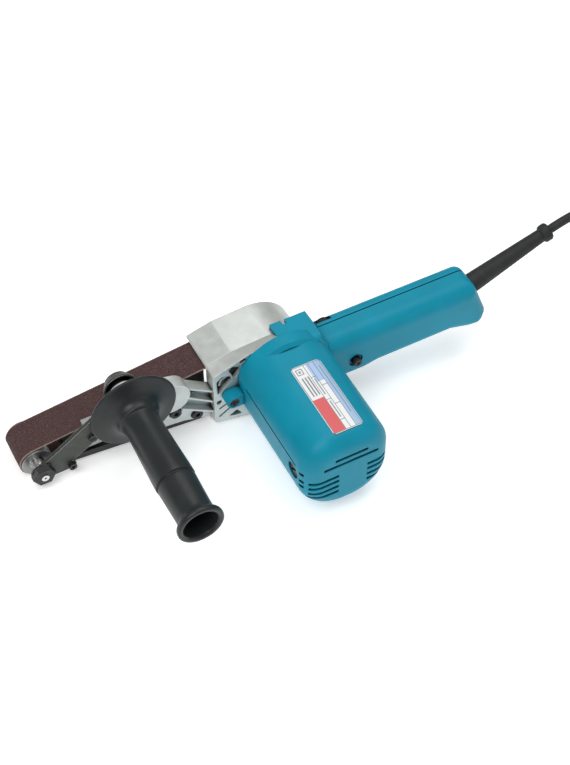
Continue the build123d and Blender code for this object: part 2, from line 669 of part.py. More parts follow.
def make_armature_shaft():
    pinion_phase = MOTOR_DIRECTION + pi + pi / PINION_TEETH
    with BuildPart() as armature_shaft:
        with BuildSketch(across(GEAR_FAR + 0.5, MOTOR_X, MOTOR_Z)):
            with BuildLine():
                Polyline(*gear_points(PINION_TEETH, pinion_phase), close=True)
            make_face()
        extrude(amount=GEAR_FAR + 0.5 - BEARING_C[2])
        disc(MOTOR_X, MOTOR_Z, BEARING_C[1] - RUN_FIT, BEARING_C[2] + 0.4, BEARING_C[3] - 1.0)
        disc(MOTOR_X, MOTOR_Z, SHAFT_R, BEARING_C[3] - 1.0, BEARING_D[2] + 1.0)
        disc(MOTOR_X, MOTOR_Z, BEARING_D[1] - RUN_FIT, BEARING_D[2] + 1.0, BEARING_D[3])
    save("armature_shaft", armature_shaft)


def make_armature_core():
    with BuildPart() as armature_core:
        with BuildSketch(across(CORE_FAR, MOTOR_X, MOTOR_Z)):
            Circle(CORE_R)
            with PolarLocations(CORE_R - 3.0, 12):
                SlotOverall(6.4, 2.0, mode=Mode.SUBTRACT)
            Circle(SHAFT_R, mode=Mode.SUBTRACT)
        extrude(amount=CORE_FAR - CORE_NEAR)
    save("armature_core", armature_core)


def make_armature_windings():
    with BuildPart() as armature_windings:
        for far, near in ((CORE_FAR + 9, CORE_FAR), (CORE_NEAR, CORE_NEAR - 9)):
            ring(MOTOR_X, MOTOR_Z, 14.5, SHAFT_R, far, near)
        fillet(armature_windings.edges().filter_by(GeomType.CIRCLE).filter_by(
            lambda edge: edge.radius > 14), 3.0)
    save("armature_windings", armature_windings)


def make_commutator():
    with BuildPart() as commutator:
        ring(MOTOR_X, MOTOR_Z, COMMUTATOR_R, SHAFT_R, COMMUTATOR_FAR, COMMUTATOR_NEAR)
        with BuildSketch(across(COMMUTATOR_FAR - 2.5, MOTOR_X, MOTOR_Z)):
            with PolarLocations(COMMUTATOR_R, 24):
                Rectangle(1.6, 0.5)
        extrude(amount=COMMUTATOR_FAR - 2.5 - COMMUTATOR_NEAR, mode=Mode.SUBTRACT)
    save("commutator", commutator)


def make_cooling_fan():
    blades = 12
    with BuildPart() as cooling_fan:
        ring(MOTOR_X, MOTOR_Z, FAN_R, SHAFT_R, FAN_FAR, FAN_FAR - 1.6)
        ring(MOTOR_X, MOTOR_Z, 8.0, SHAFT_R, FAN_FAR, FAN_NEAR)
        with BuildSketch(across(FAN_FAR, MOTOR_X, MOTOR_Z)):
            with PolarLocations(16.8, blades):
                Rectangle(18.0, 1.4, rotation=18)
        extrude(amount=FAN_FAR - FAN_NEAR)
        disc(MOTOR_X, MOTOR_Z, SHAFT_R, FAN_FAR + 1, FAN_NEAR - 1, mode=Mode.SUBTRACT)
    save("cooling_fan", cooling_fan)


def make_fan_baffle():
    with BuildPart() as fan_baffle:
        extrude(barrel_section(FAN_NEAR - 1.5, -PLASTIC), amount=2.0)
        disc(MOTOR_X, MOTOR_Z, 19.0, FAN_NEAR, FAN_NEAR - 4, mode=Mode.SUBTRACT)
    save("fan_baffle", fan_baffle)


def make_field_core():
    with BuildPart() as field_core:
        with BuildSketch(across(CORE_FAR, MOTOR_X, MOTOR_Z)):
            Circle(STATOR_R)
            Circle(22.5, mode=Mode.SUBTRACT)
            for turn in (0, pi):
                with BuildLine():
                    reach = [turn + radians(a) for a in (-42, -21, 0, 21, 42)]
                    inside = [(17.8 * cos(a), 17.8 * sin(a)) for a in reach]
                    outside = [(23.5 * cos(a), 23.5 * sin(a)) for a in reversed(reach)]
                    Polyline(*inside, *outside, close=True)
                make_face()
            Circle(17.6, mode=Mode.SUBTRACT)
        extrude(amount=CORE_FAR - CORE_NEAR)
    save("field_core", field_core)


def make_field_coils():
    with BuildPart() as field_coils:
        for turn in (pi / 2, 3 * pi / 2):
            reach = [turn + radians(a) for a in (-38, -19, 0, 19, 38)]
            inside = [(18.4 * cos(a), 18.4 * sin(a)) for a in reach]
            outside = [(22.2 * cos(a), 22.2 * sin(a)) for a in reversed(reach)]
            with BuildSketch(across(CORE_FAR + 5, MOTOR_X, MOTOR_Z)):
                with BuildLine():
                    Polyline(*inside, *outside, close=True)
                make_face()
            extrude(amount=CORE_FAR - CORE_NEAR + 10)
    save("field_coils", field_coils)


BARREL_LEFT = BARREL_X - BARREL_WIDTH / 2
BARREL_RIGHT = BARREL_X + BARREL_WIDTH / 2
CAP_R = 7.0
BRUSH_SIDES = ((-1, BARREL_LEFT), (1, BARREL_RIGHT))
BRUSH_LENGTH = 13.0


def span(side, a, b):
    """The x range between two distances from the motor axis, on one side of it."""
    ends = (MOTOR_X + side * a, MOTOR_X + side * b)
    return min(ends), max(ends)


def make_brush_holders():
    with BuildPart() as brush_holders:
        for side, face in BRUSH_SIDES:
            reach = abs(face - MOTOR_X) - 7.0
            block(span(side, 11.5, reach), (BRUSH_Y - 4.2, BRUSH_Y + 4.2),
                  (MOTOR_Z - 5.7, MOTOR_Z + 5.7))
            block(span(side, 10.0, reach + 1), (BRUSH_Y - 3.1, BRUSH_Y + 3.1),
                  (MOTOR_Z - 4.6, MOTOR_Z + 4.6), mode=Mode.SUBTRACT)
    save("brush_holders", brush_holders)


def make_carbon_brushes():
    with BuildPart() as carbon_brushes:
        for side, _ in BRUSH_SIDES:
            block(span(side, COMMUTATOR_R + 0.3, COMMUTATOR_R + 0.3 + BRUSH_LENGTH),
                  (BRUSH_Y - 3.0, BRUSH_Y + 3.0), (MOTOR_Z - 4.5, MOTOR_Z + 4.5))
    save("carbon_brushes", carbon_brushes)


def make_brush_springs():
    with BuildPart() as brush_springs:
        for side, face in BRUSH_SIDES:
            near = COMMUTATOR_R + BRUSH_LENGTH + 1.0
            length = abs(face - MOTOR_X) - 6.6 - near
            start = TOOL.from_local_coords(Vector(MOTOR_X + side * near, BRUSH_Y, MOTOR_Z))
            turns = 6 if length > 8 else 3
            coil_spring(start, TOOL.x_dir * side, 2.2, 0.3, length / turns, length)
    save("brush_springs", brush_springs)


def make_brush_caps():
    with BuildPart() as brush_caps:
        for side, face in BRUSH_SIDES:
            plane = Plane(origin=TOOL.from_local_coords(Vector(face - side * 1.2, BRUSH_Y, MOTOR_Z)),
                          x_dir=(0, 1, 0), z_dir=TOOL.x_dir * side)
            with BuildSketch(plane):
                Circle(CAP_R)
            extrude(amount=-5.0)
            with BuildSketch(plane):
                Rectangle(2 * CAP_R - 2, 1.8, rotation=40)
            extrude(amount=-1.4, mode=Mode.SUBTRACT)
    save("brush_caps", brush_caps)


# ---- mouldings ----

HANDLE_TOP = 28.2
HANDLE_OUTLINE = ((222, HANDLE_TOP), (373.5, HANDLE_TOP), (387.5, -8.0), (384.0, -22.0), (370.0, -20.0),
                  (352, -14.5), (284, -15.0), (272, -17.5), (222, -17.5))
HANDLE_CORNER = 8.5
HANDLE_ROUND = 8.0
NEAR_ROUND = 12.5          # rounding of the handle's gripped side
SEAM_GAP, SEAM_DEPTH = 0.8, 1.4
HOLLOW_X, HOLLOW_Z = (246.0, 368.0), (-12.0, 25.4)
SHOULDER_Y = -42.0         # where the flange steps down to the barrel
ROOT_END = 239.4
ROOT_TOP = 28.6
SLOPE_UNDER_X = TONGUE_X[1] + (ROOT_END - TONGUE_X[1]) * ((TONGUE_Z[1] - TONGUE_Z[0])
                                                        / (TONGUE_Z[1] - ROOT_TOP))
TRIGGER_X = (248.0, 290.0)
TRIGGER_Y = (-31.5, -16.5)
LOCK_X, LOCK_Z = 262.5, 0.0
DIAL_X, DIAL_Z = 247.5, 21.0
DIAL_R = 6.5
DIAL_ROOM = DIAL_R + 0.5
DIAL_FAR, DIAL_NEAR = -9.4, -13.8
VENT_LEVELS = (9.4, 3.4, -3.2, -9.4)
VENT_PAD = (192.5, 216.5)  # plain pad between the two groups of slots
VENT_HALF = 1.5


def handle_face(y, inset=0.0):
    """Side outline of the handle, rounded along its free part, at one depth."""
    with BuildSketch(across(y)) as outline:
        with BuildLine():
            Polyline(*HANDLE_OUTLINE, close=True)
        make_face()
        fillet([corner for corner in outline.vertices() if corner.X > 300], HANDLE_CORNER)
        if inset:
            offset(amount=-inset, mode=Mode.REPLACE)
    return outline.sketch


def crest(inset):
    """Corner to take off along the top of the gripped side, leaving it well rounded."""
    y, z = HANDLE_NEAR + NEAR_ROUND, HANDLE_TOP - NEAR_ROUND
    with BuildPart(mode=Mode.PRIVATE) as corner:
        block((200, 400), (HANDLE_NEAR - 1, y), (z, HANDLE_TOP + 1))
        bar(200, y, z, NEAR_ROUND - inset, 200, mode=Mode.SUBTRACT)
    return corner.part


def guard_plane(distance):
    """Plane square to the cord guard, at a distance along it from the handle's end."""
    x = GUARD_BASE[0] + distance * cos(GUARD_PITCH)
    z = GUARD_BASE[1] + distance * sin(GUARD_PITCH)
    heading = TOOL.x_dir * cos(GUARD_PITCH) + TOOL.z_dir * sin(GUARD_PITCH)
    return Plane(origin=TOOL.from_local_coords(Vector(x, HANDLE_Y, z)), x_dir=(0, 1, 0),
                 z_dir=heading)


def cut_guard_hole():
    for radius, start, length in ((8.4, -14.0, 40.0), (GUARD_FLANGE_R + 0.1, -16.0, 6.6)):
        with BuildSketch(guard_plane(start)) as hole:
            Circle(radius)
        extrude(hole.sketch, amount=length, mode=Mode.SUBTRACT)


def cut_vents(end_y):
    """Rows of cooling slots round the end of the motor housing, with two long slots above."""
    for z in VENT_LEVELS:
        for ends in ((BARREL_LEFT + 4.5, VENT_PAD[0]), (VENT_PAD[1], BARREL_RIGHT - 4.5)):
            block(ends, (end_y - 1, end_y + 14), (z - VENT_HALF, z + VENT_HALF),
                  Mode.SUBTRACT, 0.7)
    for ends, z in (((189.0, 216.6), 28.8), ((179.5, 225.5), 22.4)):
        block(ends, (end_y - 1, end_y + 4), (z - VENT_HALF, z + VENT_HALF), Mode.SUBTRACT, 0.7)
    for z in (18.0, *VENT_LEVELS[:2]):
        block((BARREL_LEFT - 1, BARREL_LEFT + 3.2), (end_y + 6.8, end_y + 11.2),
              (z - VENT_HALF, z + VENT_HALF), mode=Mode.SUBTRACT)


def add_tongue():
    """Tongue of the motor housing over the castings, and its root on the near side."""
    under, top = TONGUE_Z
    prism([(TONGUE_X[0], under), (TONGUE_X[0], top), (TONGUE_X[1], top), (SLOPE_UNDER_X, under)],
          TONGUE_FAR, FLANGE_Y - 2)
    with BuildPart(mode=Mode.PRIVATE) as root:
        prism([(205, 20), (205, top), (TONGUE_X[1], top), (ROOT_END, ROOT_TOP), (ROOT_END, 20)],
              FLANGE_Y, HANDLE_NEAR)
        fillet(root.edges().group_by(Axis.Y)[0], 7.0)
    add(root.part)
    block((210.8, 214.2), (TONGUE_FAR + 1, TONGUE_FAR - 4.5), (under - 0.1, top + 1),
          mode=Mode.SUBTRACT)


def make_motor_housing():
    with BuildPart() as motor_housing:
        extrude(barrel_section(FLANGE_Y), amount=FLANGE_Y - BARREL_END)
        fillet(motor_housing.edges().group_by(Axis.Y)[0], BARREL_ROUND)
        block((BARREL_LEFT - 1, BARREL_LEFT + 0.7), (SHOULDER_Y, -124), (20.4, 22.0),
              mode=Mode.SUBTRACT)
        with BuildPart(mode=Mode.PRIVATE) as flange:
            with BuildSketch(across(FLANGE_Y, 202.5, 9.15)) as ring_outline:
                RectangleRounded(75.0, 84.3, 37.0)
            extrude(ring_outline.sketch, amount=FLANGE_Y - SHOULDER_Y)
            chamfer(flange.edges().group_by(Axis.Y)[0], 3.0)
        add(flange.part)
        disc(BOSS_X, BOSS_Z, 6.0, FLANGE_Y, FLANGE_Y - 11)
        block((BOSS_X, BARREL_LEFT + 4), (FLANGE_Y - 11, FLANGE_Y), (BOSS_Z - 6, BOSS_Z + 6))
        add_tongue()
        with BuildPart(mode=Mode.PRIVATE) as near_half:
            extrude(handle_face(SPLIT_Y), amount=SPLIT_Y - HANDLE_NEAR)
            fillet(near_half.edges().group_by(Axis.Y)[0], HANDLE_ROUND)
            add(crest(0.0), mode=Mode.SUBTRACT)
            block((200, BARREL_RIGHT - 3), (FLANGE_Y, SPLIT_Y + 1), (-60, 60), mode=Mode.SUBTRACT)
            prism([(229.5, TONGUE_Z[0]), (SLOPE_UNDER_X, TONGUE_Z[0]), (ROOT_END, ROOT_TOP),
                   (ROOT_END, 21.3), (232.2, 21.3)], TONGUE_FAR, FLANGE_Y - 1)
            tapered_block(-0.4, WALL_FAR + 0.5, FLANGE_Y, mode=Mode.SUBTRACT)
        add(near_half.part)
        with BuildPart(mode=Mode.PRIVATE) as cavity:
            extrude(barrel_section(FLANGE_Y + 1, -PLASTIC),
                    amount=FLANGE_Y + 1 - BARREL_END - PLASTIC)
            fillet(cavity.edges().group_by(Axis.Y)[0], BARREL_ROUND - PLASTIC)
        add(cavity.part, mode=Mode.SUBTRACT)
        outer_d, _, far_d, _ = BEARING_D
        disc(MOTOR_X, MOTOR_Z, outer_d + 2, far_d, BARREL_END + PLASTIC)
        disc(MOTOR_X, MOTOR_Z, outer_d, far_d + 1, BEARING_D[3], mode=Mode.SUBTRACT)
        with BuildPart(mode=Mode.PRIVATE) as hollow:
            block(HOLLOW_X, (HANDLE_NEAR + PLASTIC, SPLIT_Y + 1), HOLLOW_Z, corner=3.0)
            add(crest(PLASTIC), mode=Mode.SUBTRACT)
        add(hollow.part, mode=Mode.SUBTRACT)
        block(TRIGGER_X, TRIGGER_Y, (-40, -9), mode=Mode.SUBTRACT)
        disc(BOSS_X, BOSS_Z, SCREW_R, FLANGE_Y, FLANGE_Y - 8, mode=Mode.SUBTRACT)
        disc(BOSS_X, BOSS_Z, 4.2, FLANGE_Y - 8, FLANGE_Y - 12, mode=Mode.SUBTRACT)
        disc(LOCK_X, LOCK_Z, 6.2, HANDLE_NEAR + 1.2, HANDLE_NEAR, mode=Mode.SUBTRACT)
        disc(LOCK_X, LOCK_Z, 4.1, HANDLE_NEAR + 4, HANDLE_NEAR, mode=Mode.SUBTRACT)
        for side, face in BRUSH_SIDES:
            bar(face - 8, BRUSH_Y, MOTOR_Z, CAP_R + 0.1, 16, mode=Mode.SUBTRACT)
        cut_vents(BARREL_END)
        cut_guard_hole()
    save("motor_housing", motor_housing)


def make_handle_cover():
    with BuildPart() as handle_cover:
        extrude(handle_face(HANDLE_FAR), amount=HANDLE_FAR - SPLIT_Y - SEAM_GAP)
        fillet(handle_cover.edges().group_by(Axis.Y)[-1], HANDLE_ROUND)
        extrude(handle_face(SPLIT_Y + SEAM_GAP, SEAM_DEPTH), amount=SEAM_GAP)
        block((200, ROOT_END + 0.6), (-60, 60), (-60, 60), mode=Mode.SUBTRACT)
        block(HOLLOW_X, (SPLIT_Y - 1, HANDLE_FAR - PLASTIC), HOLLOW_Z, Mode.SUBTRACT, 3.0)
        block(TRIGGER_X, TRIGGER_Y, (-40, -9), mode=Mode.SUBTRACT)
        block((DIAL_X - DIAL_ROOM, DIAL_X + DIAL_ROOM), (DIAL_NEAR - 0.4, DIAL_FAR + 0.4),
              (DIAL_Z - DIAL_ROOM, 40), mode=Mode.SUBTRACT)
        disc(DIAL_X, DIAL_Z, 1.85, DIAL_NEAR, DIAL_NEAR - 3.4, mode=Mode.SUBTRACT)
        for x, z in HANDLE_SCREWS:
            disc(x, z, 4.2, HANDLE_FAR - PLASTIC, SPLIT_Y)
            disc(x, z, 1.8, HANDLE_FAR + 1, SPLIT_Y, mode=Mode.SUBTRACT)
            disc(x, z, 3.6, HANDLE_FAR + 1, HANDLE_FAR - 3, mode=Mode.SUBTRACT)
        cut_guard_hole()
    save("handle_cover", handle_cover)


HANDLE_SCREWS = ((243.9, -7.5), (300.0, 18.0), (330.0, -6.0), (360.0, 18.0))


def make_handle_screws():
    with BuildPart() as handle_screws:
        for x, z in HANDLE_SCREWS:
            disc(x, z, 1.8, HANDLE_FAR - 3, SPLIT_Y)
            disc(x, z, 3.4, HANDLE_FAR - 0.8, HANDLE_FAR - 3)
            block((x - 2.4, x + 2.4), (HANDLE_FAR - 1.8, HANDLE_FAR), (z - 0.5, z + 0.5),
                  mode=Mode.SUBTRACT)
            block((x - 0.5, x + 0.5), (HANDLE_FAR - 1.8, HANDLE_FAR), (z - 2.4, z + 2.4),
                  mode=Mode.SUBTRACT)
    save("handle_screws", handle_screws)


def make_housing_screws():
    x, z = BOSS_X, BOSS_Z
    with BuildPart() as housing_screws:
        disc(x, z, SCREW_R, WALL_FAR - 2.5, FLANGE_Y - 8)
        disc(x, z, 4.0, FLANGE_Y - 8, FLANGE_Y - 10.6)
        block((x - 3, x + 3), (FLANGE_Y - 11, FLANGE_Y - 9.4), (z - 0.6, z + 0.6), mode=Mode.SUBTRACT)
        block((x - 0.6, x + 0.6), (FLANGE_Y - 11, FLANGE_Y - 9.4), (z - 3, z + 3), mode=Mode.SUBTRACT)
    save("housing_screws", housing_screws)


def make_name_plate():
    with BuildPart() as name_plate:
        extrude(barrel_section(-60.0, 0.25), amount=69.5)
        extrude(barrel_section(-60.0), amount=69.5, mode=Mode.SUBTRACT)
        with BuildSketch(facing_up(30.0, 205.6, -94.75)) as outline:
            RectangleRounded(24.8, 69.5, 2.5)
        extrude(outline.sketch, amount=30.0, mode=Mode.INTERSECT)
    save("name_plate", name_plate)


# ---- switch and controls ----

def make_switch_body():
    with BuildPart() as switch_body:
        block((257, 289), (-34.5, -12.0), (-2.0, 20.0), corner=1.5)
        block((262, 284), (-31.0, -17.0), (-4.5, -2.0))
        disc(LOCK_X, LOCK_Z, 3.0, -32.0, -35.0, mode=Mode.SUBTRACT)
    save("switch_body", switch_body)


def make_trigger():
    with BuildPart() as trigger:
        prism([(249, -10.2), (289, -10.2), (289, -15.5), (281, -21.5), (258, -24.5), (249, -24.5)],
              TRIGGER_Y[1] - 0.4, TRIGGER_Y[0] + 0.4, corner=1.5)
    save("trigger", trigger)


def make_lock_button():
    with BuildPart() as lock_button:
        disc(LOCK_X, LOCK_Z, 4.0, HANDLE_NEAR + 2.55, HANDLE_NEAR - 4.0)
        chamfer(lock_button.edges().group_by(Axis.Y)[0], 0.6)
        disc(LOCK_X, LOCK_Z, 1.3, HANDLE_NEAR - 3.2, HANDLE_NEAR - 4.0, mode=Mode.SUBTRACT)
    save("lock_button", lock_button)


def make_speed_dial():
    with BuildPart() as speed_dial:
        disc(DIAL_X, DIAL_Z, DIAL_R, DIAL_FAR, DIAL_NEAR)
        with BuildSketch(across(DIAL_FAR, DIAL_X, DIAL_Z)):
            with PolarLocations(DIAL_R + 0.2, 24):
                Circle(0.55)
        extrude(amount=DIAL_FAR - DIAL_NEAR, mode=Mode.SUBTRACT)
        disc(DIAL_X, DIAL_Z, 1.8, DIAL_NEAR, DIAL_NEAR - 3.0)
    save("speed_dial", speed_dial)


def make_speed_controller():
    with BuildPart() as speed_controller:
        block((293, 330), (-34.0, -31.5), (-8.0, 20.0))
        for x, z, size in ((300, 10, 7), (314, 12, 9), (306, -1, 6), (322, 0, 7)):
            block((x - size / 2, x + size / 2), (-31.5, -31.5 + size), (z - size / 2, z + size / 2))
    save("speed_controller", speed_controller)


def make_cord_clamp():
    with BuildPart() as cord_clamp:
        block((348, 356), (-33.0, -15.5), (0.0, 4.0))
        for y in (-31.0, -17.5):
            with BuildSketch(facing_up(4.0, 352, y)):
                Circle(2.4)
            extrude(amount=1.8)
    save("cord_clamp", cord_clamp)


def make_cord_guard():
    sections = ((-12.0, GUARD_FLANGE_R), (-9.5, GUARD_FLANGE_R), (-9.5, 8.3), (2.0, 8.3),
                (GUARD_LENGTH - 8, 5.7),
                (GUARD_LENGTH - 7.4, 7.0), (GUARD_LENGTH - 5.5, 7.7), (GUARD_LENGTH - 1.5, 7.7),
                (GUARD_LENGTH, 6.6))
    base = guard_plane(0)
    side = Plane(origin=base.origin, x_dir=base.z_dir, z_dir=(0, -1, 0))
    with BuildPart() as cord_guard:
        with BuildSketch(side):
            with BuildLine():
                Polyline((-12.0, 0), *sections, (GUARD_LENGTH, 0), close=True)
            make_face()
        revolve(axis=Axis(base.origin, base.z_dir))
    save("cord_guard", cord_guard)


# ---- cord, coil and plug ----

# Points of the route by hand, from the guard's tip to the floor and into the coil.
GUARD_TIP = guard_plane(GUARD_LENGTH).origin
LEAD = [GUARD_TIP, Vector(243.8, 41.75, 113.05), Vector(265.7, 42.1, 114.6),
        Vector(290.4, 43.0, 103.6), Vector(311.0, 44.4, 79.1), Vector(323.1, 45.4, 42.0),
        Vector(343.6, 45.2, 17.4), Vector(370.4, 44.0, CORD_R), Vector(394.4, 43.5, CORD_R)]
TAIL = [Vector(457.4, -26.0, 11.25), Vector(457.7, -38.0, 11.0), Vector(457.6, -50.0, 9.6),
        Vector(457.4, -62.0, 8.5)]


def tube_along(points):
    """Tube of straight runs and tangent arcs, each arc as large as its two runs allow."""
    radii = []
    for before, here, after in zip(points, points[1:], points[2:]):
        turn = radians((here - before).get_angle(after - here))
        shorter = min((here - before).length, (after - here).length)
        radii.append(0.45 * shorter / tan(turn / 2))
    with BuildLine() as path:
        FilletPolyline(*points, radius=radii)
    with BuildSketch(Plane(origin=path.line @ 0, z_dir=path.line % 0)) as section:
        Circle(CORD_R)
    sweep(section.sketch, path=path.line)
    length = sum(edge.length for edge in path.line.edges())
    print("cord radii", [round(radius, 1) for radius in radii], "length", round(length, 1))
    return length


COIL_OUTER_TURN, COIL_INNER_TURN = 57.0, 30.75
COIL_CENTRE = Vector(LEAD[-1].X + 6.0, LEAD[-1].Y - COIL_OUTER_TURN, 0)
COIL_OUTER = COIL_OUTER_TURN + CORD_R
COIL_INNER = COIL_INNER_TURN - CORD_R
COIL_HEIGHT = 4 * CORD_R


def make_power_cord():
    with BuildPart() as power_cord:
        length = tube_along(LEAD)
    print("lead volume ratio", round(power_cord.part.volume / (pi * CORD_R**2 * length), 4))
    save("power_cord", power_cord)


def make_cord_coil():
    with BuildPart() as cord_coil:
        with BuildSketch(Plane(origin=COIL_CENTRE, x_dir=(1, 0, 0), z_dir=(0, -1, 0))):
            with Locations(((COIL_OUTER + COIL_INNER) / 2, COIL_HEIGHT / 2)):
                RectangleRounded(COIL_OUTER - COIL_INNER, COIL_HEIGHT, CORD_R)
        revolve(axis=Axis(COIL_CENTRE, (0, 0, 1)))
    save("cord_coil", cord_coil)


def make_cord_tail():
    with BuildPart() as cord_tail:
        tube_along(TAIL)
    save("cord_tail", cord_tail)


PLUG_PIN_R = 2.4
PLUG_PIN_LENGTH = 19.0
PLUG_LENGTH = 44.0
PLUG_PLANE = Plane(origin=TAIL[-1], x_dir=(1, 0, 0), z_dir=(0, -1, 0))


def plug_section(distance, width, height):
    """Rounded cross-section of the plug, a distance along it from the cord."""
    with BuildSketch(PLUG_PLANE.offset(distance)) as section:
        RectangleRounded(width, height, height * 0.45)
    return section.sketch.face()


def make_plug_body():
    with BuildPart() as plug_body:
        loft([plug_section(*sizes) for sizes in ((0, 10.0, 9.6), (14, 12.0, 11.5),
                                                 (30, 33.0, 14.0), (PLUG_LENGTH, 34.0, 15.0))])
    save("plug_body", plug_body)


def make_plug_pins():
    with BuildPart() as plug_pins:
        with BuildSketch(PLUG_PLANE.offset(PLUG_LENGTH)):
            with Locations((-9.5, 0), (9.5, 0)):
                Circle(PLUG_PIN_R)
        extrude(amount=PLUG_PIN_LENGTH)
    save("plug_pins", plug_pins)


for make in (make_abrasive_belt, make_idler_pulley, make_idler_bearings, make_idler_axle,
             make_axle_nut, make_tension_arm, make_arm_block, make_arm_screws, make_slide_rod,
             make_tracking_screw, make_side_frame, make_tension_spring, make_shoe,
             make_platen_pad, make_frame_screws, make_slide_guide, make_button_cap, make_button_plunger,
             make_side_grip, make_grip_bolt, make_gear_housing, make_belt_cover,
             make_drive_pulley, make_pulley_lagging, make_drive_spindle, make_pulley_nut,
             make_drive_gear, make_spindle_bearings, make_armature_bearings,
             make_inner_gear_cover, make_armature_shaft, make_armature_core,
             make_armature_windings, make_commutator, make_cooling_fan, make_fan_baffle,
             make_field_core, make_field_coils, make_brush_holders, make_carbon_brushes,
             make_brush_springs, make_brush_caps, make_motor_housing, make_handle_cover,
             make_handle_screws, make_housing_screws, make_name_plate, make_switch_body,
             make_trigger, make_lock_button, make_speed_dial, make_speed_controller,
             make_cord_clamp, make_cord_guard, make_power_cord, make_cord_coil, make_cord_tail,
             make_plug_body, make_plug_pins):
    make()
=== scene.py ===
"""Looks for the handheld belt sander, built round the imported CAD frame.

Everything is in metres, in the frame of the CAD model: +X to the handle's end, +Y away from the
side grip, +Z up. The tool itself is pitched by TILT, so that its belt lies flat on the floor.
"""
import json
import math

import bmesh
import bpy
from mathutils import Matrix, Vector


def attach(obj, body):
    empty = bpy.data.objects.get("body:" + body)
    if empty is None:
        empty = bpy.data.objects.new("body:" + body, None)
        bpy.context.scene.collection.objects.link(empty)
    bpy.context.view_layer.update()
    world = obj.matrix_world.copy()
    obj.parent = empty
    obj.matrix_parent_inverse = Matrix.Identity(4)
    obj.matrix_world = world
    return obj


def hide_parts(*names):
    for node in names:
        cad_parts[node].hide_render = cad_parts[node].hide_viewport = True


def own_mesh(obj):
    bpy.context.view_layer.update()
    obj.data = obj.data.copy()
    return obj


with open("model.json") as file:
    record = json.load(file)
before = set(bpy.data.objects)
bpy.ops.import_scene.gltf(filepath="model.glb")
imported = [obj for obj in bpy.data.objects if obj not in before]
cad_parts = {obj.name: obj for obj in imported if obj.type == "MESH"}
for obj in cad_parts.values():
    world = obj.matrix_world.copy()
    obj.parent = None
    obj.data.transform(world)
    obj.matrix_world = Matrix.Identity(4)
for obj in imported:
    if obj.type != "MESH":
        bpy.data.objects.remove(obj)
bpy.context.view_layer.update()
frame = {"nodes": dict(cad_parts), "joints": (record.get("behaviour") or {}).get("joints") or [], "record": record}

MM = 0.001
PER_METRE = 1000.0

# ---- the tool's own axes ----
IDLER_R, DRIVE_R, CENTRES = 13.6, 34.5, 191.4
TILT = math.asin((DRIVE_R - IDLER_R) / CENTRES)
AXLE = next(Vector(joint["pos_m"]) for joint in frame["joints"] if joint["name"] == "idler_spin")
REARWARD = Vector((math.cos(TILT), 0, math.sin(TILT)))
ACROSS = Vector((0, 1, 0))
UPWARD = Vector((-math.sin(TILT), 0, math.cos(TILT)))


def tool(x, y, z):
    """Point of the CAD frame for a place on the tool's own axes, in millimetres."""
    return AXLE + (REARWARD * x + ACROSS * y + UPWARD * z) * MM


# ---- camera, floor and light ----

CAMERA_PLACE = Vector((-0.4725, -0.6568, 0.9435))
CAMERA_BACK = Vector((-0.37203, -0.56040, 0.74000))
CAMERA_ROLL = math.radians(7.82)
CAMERA_LENS = 73.3
CAMERA_SENSOR = 36.0
CAMERA_REACH = 20.0        # how far it sees, in metres

FLOOR_HALF = 3.0
FLOOR_GREY, FLOOR_GLOW = 0.93, 0.4
SKY_TINT, SKY_STRENGTH = (1.0, 0.985, 0.96, 1), 0.3
LIGHTS = (                 # name, place, aim, side of the square in metres, watts
    ("key", (-0.9, -0.3, 1.3), (0, 0, 0.05), 0.9, 12),
    ("top", (0.25, 0.35, 1.5), (0, 0, 0), 1.2, 11),
    ("fill", (0.9, -1.1, 0.7), (0.05, 0, 0.05), 0.8, 2),
)


def make_camera():
    data = bpy.data.cameras.new("camera")
    data.lens = CAMERA_LENS
    data.sensor_width = CAMERA_SENSOR
    data.clip_end = CAMERA_REACH
    camera = bpy.data.objects.new("camera", data)
    level = CAMERA_BACK.to_track_quat("Z", "Y").to_matrix().to_4x4()
    camera.matrix_world = (Matrix.Translation(CAMERA_PLACE) @ level
                           @ Matrix.Rotation(CAMERA_ROLL, 4, "Z"))
    bpy.context.scene.collection.objects.link(camera)
    bpy.context.scene.camera = camera


def area_light(name, place, aim, size, watts):
    data = bpy.data.lights.new(name, "AREA")
    data.shape = "RECTANGLE"
    data.size = data.size_y = size
    data.energy = watts
    light = bpy.data.objects.new(name, data)
    light.location = place
    light.rotation_euler = (Vector(aim) - Vector(place)).to_track_quat("-Z", "Y").to_euler()
    bpy.context.scene.collection.objects.link(light)


def make_studio():
    """White floor and soft light from above."""
    mesh = bpy.data.meshes.new("floor")
    corners = [(-1, -1), (1, -1), (1, 1), (-1, 1)]
    mesh.from_pydata([(x * FLOOR_HALF, y * FLOOR_HALF, 0) for x, y in corners], [],
                     [(0, 1, 2, 3)])
    floor = bpy.data.objects.new("floor", mesh)
    bpy.context.scene.collection.objects.link(floor)
    paint = bpy.data.materials.new("floor_paint")
    paint.use_nodes = True
    shader = paint.node_tree.nodes["Principled BSDF"]
    shader.inputs["Base Color"].default_value = (FLOOR_GREY,) * 3 + (1,)
    shader.inputs["Roughness"].default_value = 0.9
    shader.inputs["Emission Color"].default_value = (1, 1, 1, 1)
    shader.inputs["Emission Strength"].default_value = FLOOR_GLOW
    mesh.materials.append(paint)

    world = bpy.data.worlds.new("studio")
    world.use_nodes = True
    sky = world.node_tree.nodes["Background"]
    sky.inputs["Color"].default_value = SKY_TINT
    sky.inputs["Strength"].default_value = SKY_STRENGTH
    bpy.context.scene.world = world

    for row in LIGHTS:
        area_light(*row)
    bpy.context.scene.view_settings.view_transform = "Standard"
    bpy.context.scene.view_settings.look = "None"


# ---- materials ----

